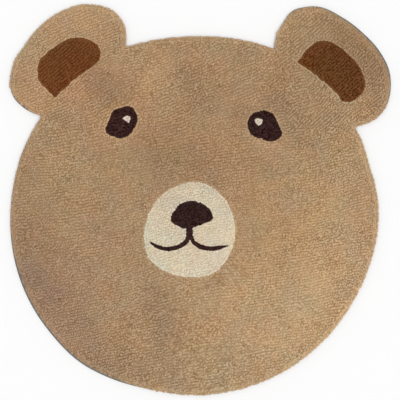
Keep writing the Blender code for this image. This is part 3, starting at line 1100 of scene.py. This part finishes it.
# -------------------------------- materials
class Nodes:
    """The node tree of a new material, with short ways to add to it."""

    def __init__(self, name):
        self.material = bpy.data.materials.new(name)
        self.material.use_nodes = True
        self.tree = self.material.node_tree
        self.shader = self.tree.nodes["Principled BSDF"]

    def add(self, kind, inputs=None, **settings):
        """Add a node whose inputs are given by name or number."""
        node = self.tree.nodes.new(kind)
        for key, value in settings.items():
            setattr(node, key, value)
        for key, value in (inputs or {}).items():
            self.feed(node.inputs[key], value)
        return node

    def feed(self, socket, value):
        """Link an output to a socket, or set the socket's own value."""
        if isinstance(value, bpy.types.NodeSocket):
            self.tree.links.new(value, socket)
        else:
            socket.default_value = value

    def ramp(self, value, low, high):
        """Map a value from 0 to 1 onto another range."""
        node = self.add("ShaderNodeMapRange", {"Value": value, "To Min": low, "To Max": high})
        return node.outputs["Result"]

    def times(self, colour, factor):
        """Multiply a colour by a colour or a value."""
        node = self.add("ShaderNodeVectorMath", {0: colour, 1: factor}, operation="MULTIPLY")
        return node.outputs["Vector"]

    def fleck(self, share, pale):
        """Multiplier of a colour that is a share lighter or darker, and paler with it."""
        inputs = {0: share, 1: pale, 2: (1.0, 1.0, 1.0)}
        node = self.add("ShaderNodeVectorMath", inputs, operation="MULTIPLY_ADD")
        return node.outputs["Vector"]

    def noise(self, size):
        """Noise of a size in metres, fixed to the object."""
        place = self.add("ShaderNodeTexCoord").outputs["Object"]
        inputs = {"Vector": place, "Scale": 1.0 / size, "Detail": NOISE_DETAIL}
        return self.add("ShaderNodeTexNoise", inputs).outputs["Fac"]

    def surface(self, values):
        """Link or set inputs of the shader itself."""
        for name, value in values.items():
            self.feed(self.shader.inputs[name], value)

    def bump(self, height, strength, distance):
        """Raise the surface's fine relief where a value is high."""
        inputs = {"Height": height, "Strength": strength, "Distance": distance}
        self.surface({"Normal": self.add("ShaderNodeBump", inputs).outputs["Normal"]})


def pile_material(yarn, colour, foot, within):
    """Matt, slightly fuzzy yarn, darker between the tufts than on their tips: painted shade."""
    nodes = Nodes(f"{yarn}_yarn")
    tint = nodes.add("ShaderNodeAttribute", attribute_name="tuft_tint")
    depth = nodes.add("ShaderNodeAttribute", attribute_name="tuft_depth")
    fibre = nodes.noise(FIBRE_SIZE)
    pale = tuple(paleness(colour))
    # painted shade: darker toward each tuft's foot
    shade = nodes.ramp(depth.outputs["Fac"], 0.0, foot - 1.0)
    strand = nodes.ramp(nodes.noise(STRAND_SIZE), -within, within)
    base = nodes.times(tint.outputs["Color"], colour)
    base = nodes.times(base, nodes.fleck(shade, pale))
    base = nodes.times(base, nodes.fleck(strand, pale))
    base = nodes.times(base, nodes.ramp(fibre, *FIBRE_TONES))
    nodes.surface({"Base Color": base, "Roughness": nodes.ramp(fibre, *FIBRE_ROUGHNESS)})
    nodes.surface({"Sheen Weight": SHEEN, "Sheen Roughness": SHEEN_ROUGHNESS})
    nodes.surface({"Specular IOR Level": YARN_SPECULAR})
    nodes.bump(fibre, FIBRE_BUMP, FIBRE_SIZE * FIBRE_RELIEF)
    return nodes.material


def bed_material():
    """The feet of the pile, seen between the tufts, their colour darkened as painted shade."""
    nodes = Nodes("pile_bed")
    colour = nodes.add("ShaderNodeAttribute", attribute_name="bed_colour")
    fibre = nodes.noise(BED_FIBRE_SIZE)
    base = nodes.times(colour.outputs["Color"], nodes.ramp(fibre, *BED_TONES))
    nodes.surface({"Base Color": base, "Roughness": nodes.ramp(fibre, *BED_ROUGHNESS)})
    nodes.surface({"Specular IOR Level": BED_SPECULAR})
    nodes.bump(fibre, BED_BUMP, BED_RELIEF)
    return nodes.material


def backing_material():
    """Plain-woven cotton cloth, undyed, on the underside."""
    nodes = Nodes("backing_cotton")
    place = nodes.add("ShaderNodeTexCoord").outputs["Object"]
    threads = []
    for direction in ("X", "Y"):
        inputs = {"Vector": place, **THREADS}
        wave = nodes.add("ShaderNodeTexWave", inputs, bands_direction=direction)
        threads.append(wave.outputs["Fac"])
    inputs = {0: threads[0], 1: threads[1]}
    weave = nodes.add("ShaderNodeMath", inputs, operation="MULTIPLY").outputs["Value"]
    clouds = nodes.ramp(nodes.noise(CLOUD_SIZE), *CLOUD_TONES)
    light = nodes.times(nodes.ramp(weave, *WEAVE_TONES), clouds)
    base = nodes.times(light, BACKING_COLOUR)
    nodes.surface({"Base Color": base, "Roughness": nodes.ramp(weave, *WEAVE_ROUGHNESS)})
    nodes.bump(weave, WEAVE_BUMP, WEAVE_RELIEF)
    return nodes.material


# -------------------------------- stage
def add_camera():
    """Looks straight down, far enough to see one pixel as PIXEL_SIZE on the rug."""
    data = bpy.data.cameras.new("camera")
    data.lens = CAMERA_LENS_MM
    data.sensor_width = CAMERA_SENSOR_MM
    camera = new_object("camera", data)
    distance = FRAME_PIXELS * PIXEL_SIZE * CAMERA_LENS_MM / CAMERA_SENSOR_MM
    camera.location = (*CAMERA_CENTRE, distance + RIM_TIP)
    bpy.context.scene.camera = camera


def add_floor():
    """A wide, plain, nearly white floor."""
    mesh = bpy.data.meshes.new("floor")
    half = FLOOR_HALF
    corners = [(-half, -half, 0), (half, -half, 0), (half, half, 0), (-half, half, 0)]
    mesh.from_pydata(corners, [], [(0, 1, 2, 3)])
    nodes = Nodes("pale_floor")
    nodes.surface({"Base Color": (*[FLOOR_SHADE] * 3, 1.0), "Roughness": FLOOR_ROUGHNESS})
    nodes.surface({"Specular IOR Level": 0.0})
    mesh.materials.append(nodes.material)
    floor = new_object("floor", mesh)


def add_lights():
    """A pale surround and one wide soft lamp, high up to the lower right."""
    world = bpy.data.worlds.new("surround")
    world.use_nodes = True
    tree = world.node_tree
    place = tree.nodes.new("ShaderNodeTexCoord")
    split = tree.nodes.new("ShaderNodeSeparateXYZ")
    fade = tree.nodes.new("ShaderNodeMapRange")
    for socket, value in (("From Max", HORIZON_RISE), ("To Min", HORIZON), ("To Max", OVERHEAD)):
        fade.inputs[socket].default_value = value
    background = tree.nodes["Background"]
    background.inputs["Color"].default_value = (1.0, 1.0, 1.0, 1.0)
    tree.links.new(place.outputs["Generated"], split.inputs["Vector"])
    tree.links.new(split.outputs["Z"], fade.inputs["Value"])
    tree.links.new(fade.outputs["Result"], background.inputs["Strength"])
    bpy.context.scene.world = world
    data = bpy.data.lights.new("lamp", "SUN")
    data.energy = LAMP_STRENGTH
    data.angle = math.radians(LAMP_SPREAD)
    lamp = new_object("lamp", data)
    lamp.rotation_euler = Vector(LAMP_FROM).to_track_quat("Z", "Y").to_euler()
    bpy.context.scene.view_settings.view_transform = "Standard"


def build_rug():
    """The cloth and the pile, in place of the plain solid."""
    rng = np.random.default_rng(SEED)
    outline = rug_outline(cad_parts["bear_rug"])
    areas = yarn_areas()
    pile_edge = inset(outline, bumps(outline, BARE_RIMS))
    cloth = build_cloth(outline, areas, bed_material(), backing_material())
    materials = {
        yarn: pile_material(yarn, colour, foot, within)
        for yarn, (colour, foot, _single, within) in YARNS.items()
    }
    pile = build_pile(rng, pile_edge, areas, materials)
    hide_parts("bear_rug")


add_camera()
add_floor()
add_lights()
build_rug()
